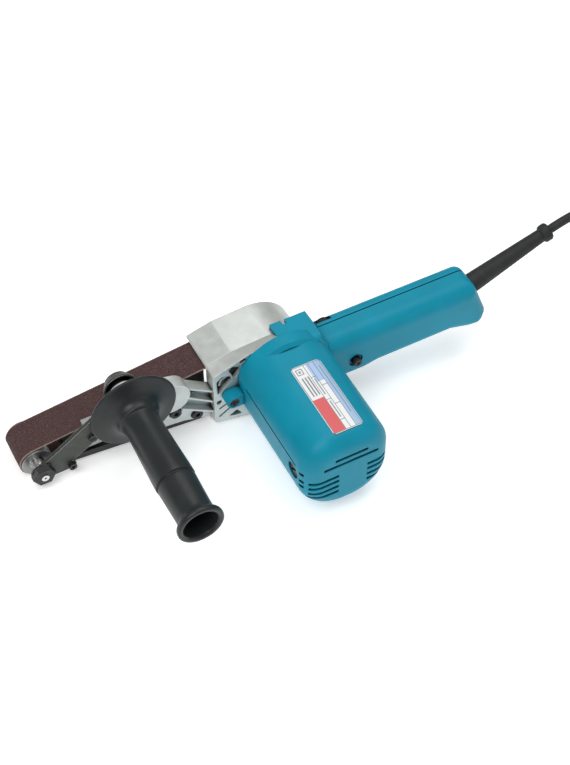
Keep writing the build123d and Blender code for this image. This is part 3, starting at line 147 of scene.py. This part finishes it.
BEVEL_SAMPLES, OCCLUSION_SAMPLES = 6, 8
MIX_FIRST, MIX_SECOND, MIX_RESULT = 6, 7, 2      # the Mix node's sockets for colours
# how far the painted shade in slots and pockets looks for walls, in millimetres
SHADE_REACH = 5.0


def toned(color, share):
    return [c * share for c in color]


class Look:
    """A procedural material round one Principled shader."""

    def __init__(self, name, roughness, metallic=0.0):
        self.material = bpy.data.materials.new(name)
        self.material.use_nodes = True
        self.tree = self.material.node_tree
        self.shader = self.tree.nodes["Principled BSDF"]
        self.shader.inputs["Roughness"].default_value = roughness
        self.shader.inputs["Metallic"].default_value = metallic
        self.place = self.tree.nodes.new("ShaderNodeTexCoord").outputs["Object"]
        self.normal = None

    def node(self, kind, inputs=(), **settings):
        made = self.tree.nodes.new("ShaderNode" + kind)
        for key, value in settings.items():
            setattr(made, key, value)
        for key, value in dict(inputs).items():
            if isinstance(value, bpy.types.NodeSocket):
                self.tree.links.new(value, made.inputs[key])
            else:
                made.inputs[key].default_value = value
        return made

    def math(self, operation, a, b=0.0, clamp=False):
        made = self.node("Math", {0: a, 1: b}, operation=operation, use_clamp=clamp)
        return made.outputs[0]

    def noise(self, size_mm, detail=3.0, rough=0.5, place=None):
        """Noise from 0 to 1 whose blobs are about size_mm across."""
        made = self.node("TexNoise", {"Vector": place or self.place, "Scale": PER_METRE / size_mm,
                                      "Detail": detail, "Roughness": rough})
        return made.outputs["Fac"]

    def ramp(self, value, low, high, start=0.0, end=1.0):
        """Value stretched so that low gives start and high gives end."""
        made = self.node("MapRange", {"Value": value, "From Min": low, "From Max": high,
                                      "To Min": start, "To Max": end})
        return made.outputs["Result"]

    def mix(self, factor, first, second):
        made = self.node("Mix", {"Factor": factor}, data_type="RGBA")
        for socket, value in ((made.inputs[MIX_FIRST], first), (made.inputs[MIX_SECOND], second)):
            if isinstance(value, bpy.types.NodeSocket):
                self.tree.links.new(value, socket)
            else:
                socket.default_value = (*value, 1)
        return made.outputs[MIX_RESULT]

    def color(self, value):
        self.tree.links.new(value, self.shader.inputs["Base Color"])

    def roughness(self, value):
        self.tree.links.new(value, self.shader.inputs["Roughness"])

    def gloss(self, level):
        self.shader.inputs["Specular IOR Level"].default_value = level

    def rounded_normal(self, radius_mm):
        return self.node("Bevel", {"Radius": radius_mm * MM},
                         samples=BEVEL_SAMPLES).outputs["Normal"]

    def soft_edges(self, radius_mm):
        """Edges catch the light as if rounded by this radius."""
        self.normal = self.rounded_normal(radius_mm)
        self.tree.links.new(self.normal, self.shader.inputs["Normal"])

    def painted_hollow_shade(self, low, high):
        """Painted shade: 1 deep inside slots and pockets, 0 on open faces."""
        open_share = self.node("AmbientOcclusion", {"Distance": SHADE_REACH * MM},
                               samples=OCCLUSION_SAMPLES).outputs["AO"]
        return self.ramp(open_share, low, high, 1.0, 0.0)

    def edge_mask(self, radius_mm, sharpness=6.0):
        """1 along convex and concave edges, 0 on the faces between them."""
        bent = self.rounded_normal(radius_mm)
        flat = self.node("NewGeometry").outputs["Normal"]
        dot = self.node("VectorMath", {0: bent, 1: flat}, operation="DOT_PRODUCT").outputs["Value"]
        away = self.math("SUBTRACT", 1.0, dot)
        return self.math("MULTIPLY", away, sharpness, clamp=True)

    def bump(self, height, depth_mm, strength=1.0):
        values = {"Height": height, "Distance": depth_mm * MM, "Strength": strength}
        if self.normal is not None:
            values["Normal"] = self.normal
        self.normal = self.node("Bump", values).outputs["Normal"]
        self.tree.links.new(self.normal, self.shader.inputs["Normal"])

    def stretched(self, along_x, along_y, along_z):
        """Place with each axis scaled, for brushed or turned marks."""
        return self.node("VectorMath", {0: self.place, 1: (along_x, along_y, along_z)},
                         operation="MULTIPLY").outputs["Vector"]

    def tool_axis(self, axis):
        """Millimetres along one of the tool's own axes, from the idler axle."""
        dot = self.node("VectorMath", {0: self.place, 1: axis},
                        operation="DOT_PRODUCT").outputs["Value"]
        return self.math("MULTIPLY", self.math("SUBTRACT", dot, AXLE.dot(axis)), PER_METRE)

    def between(self, value, low, high, blur=0.12):
        """1 where value lies between low and high, 0 outside."""
        rise = self.ramp(value, low - blur, low + blur)
        fall = self.ramp(value, high - blur, high + blur, 1.0, 0.0)
        return self.math("MULTIPLY", rise, fall)


def plastic(name, color, roughness, grain_mm=0.5, worn=(0.5, 0.5, 0.5), wear=0.15, edge=0.6,
            gloss=0.3):
    """Moulded plastic with a fine spark-eroded grain, paler rubbed edges and painted shade deep in slots and
    pockets.
    """
    look = Look(name, roughness)
    look.gloss(gloss)
    look.soft_edges(edge)
    cloud = look.noise(28.0, 2.0)
    tone = look.mix(look.ramp(cloud, 0.3, 0.7), toned(color, 0.93), toned(color, 1.05))
    patches = look.ramp(look.noise(5.0, 4.0), 0.45, 0.7)
    rubbed = look.math("MULTIPLY", look.edge_mask(edge), patches)
    tone = look.mix(look.math("MULTIPLY", rubbed, wear), tone, worn)
    # painted shade: the colour goes almost black deep in slots and pockets
    look.color(look.mix(look.painted_hollow_shade(0.38, 0.78), tone, toned(color, 0.06)))
    smear = look.ramp(look.noise(14.0, 3.0), 0.3, 0.75, roughness - 0.05, roughness + 0.07)
    look.roughness(smear)
    look.bump(look.noise(grain_mm, 2.0), 0.02)
    return look


def cast_metal(name, color, roughness, metallic, edge=0.7):
    """Die-cast aluminium: pebbled skin, cloudy tone, brighter rubbed edges and painted shade in hollows."""
    look = Look(name, roughness, metallic)
    look.soft_edges(edge)
    cloud = look.noise(16.0, 5.0, 0.6)
    tone = look.mix(look.ramp(cloud, 0.3, 0.7), toned(color, 0.94), toned(color, 1.04))
    specks = look.ramp(look.noise(0.7, 2.0), 0.62, 0.75, 0.0, 0.25)
    tone = look.mix(specks, tone, toned(color, 0.55))
    patches = look.ramp(look.noise(3.0, 3.0), 0.35, 0.6)
    rubbed = look.math("MULTIPLY", look.edge_mask(edge), patches)
    tone = look.mix(look.math("MULTIPLY", rubbed, 0.35), tone, (0.9, 0.91, 0.9))
    # painted shade: the colour darkens deep in slots and pockets
    look.color(look.mix(look.painted_hollow_shade(0.2, 0.6), tone, toned(color, 0.12)))
    look.roughness(look.ramp(look.noise(6.0, 4.0), 0.3, 0.7, roughness - 0.08, roughness + 0.1))
    look.bump(look.noise(0.9, 3.0), 0.05)
    return look


def steel(name, color, roughness=0.3, turned=False, edge=0.3, metallic=1.0, wear=0.4):
    """Machined steel: fine marks round the turning axis or along the piece."""
    look = Look(name, roughness, metallic)
    look.soft_edges(edge)
    grain = look.stretched(1, 4, 1) if turned else look.stretched(0.12, 1, 1)
    marks = look.noise(0.35, 3.0, 0.6, grain)
    tone = look.mix(look.ramp(marks, 0.25, 0.75), toned(color, 0.8), toned(color, 1.1))
    rubbed = look.math("MULTIPLY", look.edge_mask(edge), wear)
    look.color(look.mix(rubbed, tone, (0.85, 0.85, 0.84)))
    look.roughness(look.ramp(look.noise(4.0, 4.0), 0.3, 0.7, roughness - 0.07, roughness + 0.12))
    look.bump(marks, 0.012)
    return look


def rubber(name, color):
    """Matt rubber with a little dust."""
    look = Look(name, 0.62)
    look.gloss(0.3)
    look.soft_edges(0.4)
    dust = look.ramp(look.noise(9.0, 4.0), 0.45, 0.8, 0.0, 0.5)
    look.color(look.mix(dust, color, [c * 1.8 + 0.01 for c in color]))
    look.bump(look.noise(0.45, 2.0), 0.02)
    return look


GRIT_SIZE = 0.42
BELT_EDGE = 14.35          # distance from the belt's middle where the bare cloth starts to show
BELT_FRAY = 0.5            # distance over which the grit gives way to it


def abrasive():
    """Resin-bonded grit on cloth: dark brown grains, some glinting, and a bare cloth edge."""
    look = Look("abrasive_grit", 0.82)
    look.gloss(0.15)
    grit = look.node("TexVoronoi", {"Vector": look.place, "Scale": PER_METRE / GRIT_SIZE},
                     feature="F1")
    tint = look.node("SeparateColor", {0: grit.outputs["Color"]})
    base = look.mix(look.ramp(look.noise(0.8, 3.0), 0.3, 0.7), (0.050, 0.026, 0.026),
                    (0.094, 0.053, 0.053))
    pale = look.ramp(tint.outputs[0], 0.86, 0.93)
    grains = look.mix(look.math("MULTIPLY", pale, 0.5), base, (0.22, 0.15, 0.145))
    dark = look.ramp(tint.outputs[1], 0.84, 0.92)
    grains = look.mix(look.math("MULTIPLY", dark, 0.8), grains, (0.03, 0.018, 0.017))
    cloud = look.ramp(look.noise(40.0, 3.0), 0.3, 0.7, 0.0, 0.35)
    grains = look.mix(cloud, grains, (0.080, 0.046, 0.046))
    side = look.math("ABSOLUTE", look.tool_axis(ACROSS))
    cloth = look.noise(0.5, 2.0, 0.5, look.stretched(1, 0.25, 1))
    weave = look.mix(look.ramp(cloth, 0.35, 0.65), (0.27, 0.2, 0.17), (0.42, 0.33, 0.28))
    look.color(look.mix(look.ramp(side, BELT_EDGE, BELT_EDGE + BELT_FRAY), grains, weave))
    look.roughness(look.ramp(tint.outputs[2], 0.8, 0.95, 0.85, 0.45))
    look.bump(grit.outputs["Distance"], 0.14, 0.9)
    return look


PRINT_BLACK, PRINT_WHITE = (0.05, 0.055, 0.06), (0.74, 0.76, 0.77)
PRINT_BAND, PRINT_RED = (0.34, 0.50, 0.72), (0.62, 0.055, 0.065)
PRINT_ENDS = (60.9, 128.6)         # the print's two ends, from the tool's mid-plane

# Each box is (from, to) towards the vent end, (from, to) over the motor, and its ink.
# A later box lies on the earlier ones. The plate is 60 to 129.5 by 193.2 to 218.
LABEL_BOXES = (
    ((60.4, 129.1), (193.6, 217.6), PRINT_BLACK),
    (PRINT_ENDS, (194.1, 217.1), PRINT_WHITE),
    ((60.9, 80.0), (205.6, 212.2), PRINT_BAND),
    (PRINT_ENDS, (212.2, 217.1), PRINT_BAND),
    ((94.5, 128.6), (194.1, 203.4), PRINT_RED),
    ((62.8, 68.8), (195.8, 201.0), PRINT_BLACK),
    ((63.4, 68.2), (196.4, 200.4), PRINT_WHITE),
    ((64.6, 67.0), (197.6, 199.2), (0.2, 0.21, 0.22)),
    *(((72.0, 91.5), (bar, bar + 1.1), (0.16, 0.17, 0.18)) for bar in (196.6, 199.0, 201.4)),
    *((PRINT_ENDS, (rule, rule + 0.4), PRINT_BLACK) for rule in (203.4, 207.4, 211.8)),
    *(((rule, rule + 0.5), (side, side + 4.2), PRINT_BLACK)
      for rule, side in ((74.0, 203.6), (84.0, 207.6), (98.0, 203.6), (104.0, 207.6),
                         (119.0, 203.6))),
    *(((bar, bar + 17.0), (205.0, 206.2), (0.3, 0.32, 0.34)) for bar in (76.0, 100.0)),
    ((66.0, 116.0), (214.2, 215.2), (0.22, 0.3, 0.42)),
)


def label():
    """Printed sticker with bands, a red block, a square mark, rules and bars, and no lettering."""
    look = Look("name_plate_print", 0.28)
    along = look.tool_axis(-ACROSS)
    over = look.tool_axis(REARWARD)
    ink = look.mix(look.noise(3.0), (0.80, 0.82, 0.83), (0.86, 0.87, 0.87))
    for ends, sides, colour in LABEL_BOXES:
        inside = look.math("MULTIPLY", look.between(along, *ends), look.between(over, *sides))
        ink = look.mix(inside, ink, colour)
    look.color(ink)
    look.shader.inputs["Coat Weight"].default_value = 0.15
    look.shader.inputs["Coat Roughness"].default_value = 0.12
    look.bump(look.noise(1.2, 2.0), 0.01)
    return look


def copper_wire(name, color):
    """Windings: bands of enamelled wire."""
    look = Look(name, 0.35, 0.7)
    strands = look.node("TexWave", {"Vector": look.place, "Scale": 620.0, "Distortion": 2.0,
                                    "Detail": 1.0}, wave_type="BANDS", bands_direction="Y")
    look.color(look.mix(strands.outputs["Fac"], toned(color, 0.45), color))
    look.bump(strands.outputs["Fac"], 0.2)
    return look


def laminated_steel():
    """Core of thin stamped sheets, seen edge on."""
    look = Look("laminated_steel", 0.45, 0.8)
    sheets = look.node("TexWave", {"Vector": look.place, "Scale": PER_METRE, "Distortion": 0.2},
                       wave_type="BANDS", bands_direction="Y")
    look.color(look.mix(sheets.outputs["Fac"], (0.1, 0.1, 0.1), (0.36, 0.36, 0.37)))
    look.bump(sheets.outputs["Fac"], 0.06)
    return look


def circuit_board():
    """Speed controller board."""
    look = Look("circuit_board", 0.4)
    tracks = look.node("TexBrick", {"Vector": look.place, "Scale": 160.0,
                                    "Color1": (0.02, 0.2, 0.06, 1),
                                    "Color2": (0.015, 0.15, 0.05, 1),
                                    "Mortar": (0.2, 0.3, 0.1, 1)})
    look.color(tracks.outputs["Color"])
    return look


def make_looks():
    """One finish for each material slot of the record, and one for the cores."""
    return {
        "abrasive": abrasive(),
        "grey_steel": steel("grey_steel", (0.33, 0.34, 0.34), 0.36, turned=True),
        "bright_steel": steel("bright_steel", (0.66, 0.66, 0.65), 0.22, turned=True),
        "black_steel": steel("black_oxide", (0.035, 0.035, 0.037), 0.36, turned=True, metallic=0.6,
                             wear=0.2),
        "coated_steel": steel("plated_steel", (0.075, 0.082, 0.074), 0.5, metallic=0.7, edge=0.5,
                              wear=0.7),
        "cast_aluminium": cast_metal("die_cast_aluminium", (0.60, 0.635, 0.615), 0.42, 0.6),
        "graphite": plastic("graphite", (0.03, 0.03, 0.03), 0.6),
        "black_plastic": plastic("black_plastic", (0.016, 0.017, 0.019), 0.38),
        "grip_rubber": plastic("grip_plastic", (0.018, 0.022, 0.023), 0.36, grain_mm=0.6,
                               worn=(0.16, 0.17, 0.17), wear=0.3),
        "black_rubber": rubber("black_rubber", (0.02, 0.021, 0.022)),
        "copper": copper_wire("enamelled_copper", (0.55, 0.22, 0.09)),
        "brass": steel("stamped_brass", (0.6, 0.42, 0.16), 0.3),
        "teal_plastic": plastic("teal_plastic", (0.003, 0.255, 0.375), 0.42, grain_mm=0.45,
                                worn=(0.2, 0.42, 0.5), wear=0.2, edge=0.8, gloss=0.18),
        "plate_sticker": label(),
        "board_green": circuit_board(),
        "chrome_pin": steel("nickel_plate", (0.72, 0.71, 0.68), 0.16, turned=True),
        "laminations": laminated_steel(),
    }


LOOKS = make_looks()
LAMINATED = ("armature_core", "field_core")


def dress(piece, look_name):
    piece.data.materials.clear()
    piece.data.materials.append(LOOKS[look_name].material)


def dress_cad_nodes():
    """Each CAD node gets the finish of its record slot, put on its object's own slots."""
    slots = {row["node"]: row["material_slot"] for row in frame["record"]["subparts"]}
    for name, node in frame["nodes"].items():
        chosen = LOOKS["laminations" if name in LAMINATED else slots[name]].material
        for place in node.material_slots:
            place.link = "OBJECT"
            place.material = chosen


def new_piece(name, mesh, body, look_name, replaced=()):
    """A Blender piece that rides on a body and may stand for some CAD nodes."""
    piece = bpy.data.objects.new(name, mesh)
    bpy.context.scene.collection.objects.link(piece)
    dress(piece, look_name)
    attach(piece, body)
    if replaced:
        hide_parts(*replaced)
    return piece


# ---- side grip ----

GRIP_X, GRIP_Z = 75.5, 38.0
# Place along the grip and radius there, from the flange out to the flared end and back inside.
GRIP_CURVE = (
    (31.4, 33.6), (32.2, 34.6), (33.4, 34.7), (34.1, 33.9), (34.6, 31.0), (35.6, 26.0),
    (37.2, 21.4), (39.4, 18.4), (42.2, 16.9), (44.6, 16.3), (45.6, 15.2), (47.0, 14.6),
    (58.0, 14.3), (70.0, 14.6), (85.0, 15.1), (98.0, 15.6), (106.6, 15.7), (107.3, 15.2),
    (107.6, 14.6), (108.6, 14.4), (109.4, 14.8), (110.2, 15.2), (118.0, 15.0), (128.0, 14.7),
    (138.0, 14.5), (142.6, 14.9), (144.6, 16.2), (146.0, 17.7), (147.8, 18.25), (149.6, 18.0),
    (150.4, 17.0), (150.4, 15.4), (149.4, 14.0), (147.0, 13.3), (136.0, 12.7), (124.6, 12.3),
    (124.1, 11.0), (124.1, 0.0),
)
GRIP_HUB = (31.4, 4.0)
CURVE_STEPS = 4
GRIP_SIDES = 96


def smooth_curve(points, steps):
    """Points of a Catmull-Rom curve through the given pairs."""
    padded = [points[0], *points, points[-1]]
    curve = []
    for before, start, end, after in zip(padded, padded[1:], padded[2:], padded[3:]):
        for step in range(steps):
            t = step / steps
            curve.append([0.5 * (2 * b + (c - a) * t + (2 * a - 5 * b + 4 * c - d) * t * t
                                 + (3 * b - a - 3 * c + d) * t ** 3)
                          for a, b, c, d in zip(before, start, end, after)])
    return [*curve, list(points[-1])]


def skinned(name, rings, crease=38):
    """Closed mesh through rings of points, with a cap on each end."""
    form = bmesh.new()
    loops = [[form.verts.new(point) for point in ring] for ring in rings]
    for first, second in zip(loops, loops[1:]):
        for side in range(len(first)):
            after = (side + 1) % len(first)
            form.faces.new((first[side], first[after], second[after], second[side]))
    form.faces.new(loops[0])
    form.faces.new(loops[-1])
    bmesh.ops.recalc_face_normals(form, faces=form.faces)
    mesh = bpy.data.meshes.new(name)
    form.to_mesh(mesh)
    form.free()
    mesh.shade_smooth()
    mesh.set_sharp_from_angle(angle=math.radians(crease))
    return mesh


def make_side_grip():
    """Lathe-smooth grip with its flange, groove and flared open end."""
    centre = tool(GRIP_X, 0, GRIP_Z)
    angles = [2 * math.pi * side / GRIP_SIDES for side in range(GRIP_SIDES)]
    rings = []
    for along, radius in [GRIP_HUB, *smooth_curve(GRIP_CURVE, CURVE_STEPS)][:-1]:
        rings.append([centre + Vector((radius * math.cos(angle), -along,
                                       radius * math.sin(angle))) * MM for angle in angles])
    new_piece("grip_body", skinned("grip_body", rings), "root", "grip_rubber", ("side_grip",))


# ---- tension spring ----

ROD_Y, ROD_Z = -4.0, 3.5
SPRING_START, SPRING_LENGTH = 92.6, 21.8
SPRING_RADIUS, WIRE_RADIUS, SPRING_PITCH = 3.6, 0.55, 2.9
SPRING_SIDES, WIRE_SIDES = 28, 10


def make_tension_spring():
    """Wire helix against the end of its bore, fixed to the root; it does not close up as the arm slides in."""
    rings = []
    for step in range(round(SPRING_LENGTH / SPRING_PITCH * SPRING_SIDES) + 1):
        turn = 2 * math.pi * step / SPRING_SIDES
        along = SPRING_START + SPRING_PITCH * step / SPRING_SIDES
        ring = []
        for side in range(WIRE_SIDES):
            angle = 2 * math.pi * side / WIRE_SIDES
            reach = SPRING_RADIUS + WIRE_RADIUS * math.cos(angle)
            ring.append(tool(along + WIRE_RADIUS * math.sin(angle), ROD_Y + reach * math.cos(turn),
                             ROD_Z + reach * math.sin(turn)))
        rings.append(ring)
    spring = new_piece("compression_spring", skinned("compression_spring", rings), "root",
                       "bright_steel", ("tension_spring",))
    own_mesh(spring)


# ---- cord ----

CORD_R = 3.75
GUARD_TIP = (227.275, 41.75, 104.638)
LEAD = (GUARD_TIP, (243.8, 41.75, 113.05), (265.7, 42.1, 114.6), (290.4, 43.0, 103.6),
        (311.0, 44.4, 79.1), (323.1, 45.4, 42.0), (343.6, 45.2, 17.4), (370.4, 44.0, 3.75),
        (394.4, 43.5, 3.75))
TAIL = ((457.4, -26.0, 11.25), (457.7, -38.0, 11.0), (457.6, -50.0, 9.6), (457.4, -62.0, 8.5))
COIL_CENTRE = Vector((400.4, -13.5, 0))
COIL_OUTER_TURN, COIL_INNER_TURN = 57.0, 30.75
CLIMB_TURNS = 0.25
TURN_POINTS = 16


def coil_points():
    """Turns that wind inwards on the floor, climb inside, and wind outwards on top."""
    inward = (COIL_OUTER_TURN - COIL_INNER_TURN) / (2 * CORD_R)
    turns = 2 * inward + CLIMB_TURNS
    spread = 1 / math.cos(math.pi / TURN_POINTS)
    points = []
    for step in range(1, round(turns * TURN_POINTS)):
        turn = step / TURN_POINTS
        climb = min(max((turn - inward) / CLIMB_TURNS, 0.0), 1.0)
        layer = turn if turn < inward else max(turn - inward - CLIMB_TURNS, 0.0)
        radius = (COIL_OUTER_TURN - 2 * CORD_R * layer if turn < inward
                  else COIL_INNER_TURN + 2 * CORD_R * layer)
        angle = math.pi / 2 - turn * 2 * math.pi
        points.append(COIL_CENTRE + Vector((radius * spread * math.cos(angle),
                                            radius * spread * math.sin(angle),
                                            CORD_R + climb * 2 * CORD_R)))
    return points


def make_cord():
    """The lead from its guard to the plug, on one smooth curve."""
    curve = bpy.data.curves.new("power_lead", "CURVE")
    curve.dimensions = "3D"
    curve.bevel_depth = CORD_R * MM
    curve.bevel_resolution = 8
    curve.resolution_u = 10
    curve.use_fill_caps = True
    points = [Vector(p) for p in LEAD] + coil_points() + [Vector(p) for p in TAIL]
    spline = curve.splines.new("NURBS")
    spline.points.add(len(points) - 1)
    for place, point in zip(spline.points, points):
        place.co = (*(point * MM), 1)
    spline.order_u = 3
    spline.use_endpoint_u = True
    cord = new_piece("power_lead", curve, "root", "black_rubber",
                     ("power_cord", "cord_coil", "cord_tail"))


make_camera()
make_studio()
dress_cad_nodes()
make_side_grip()
make_tension_spring()
make_cord()
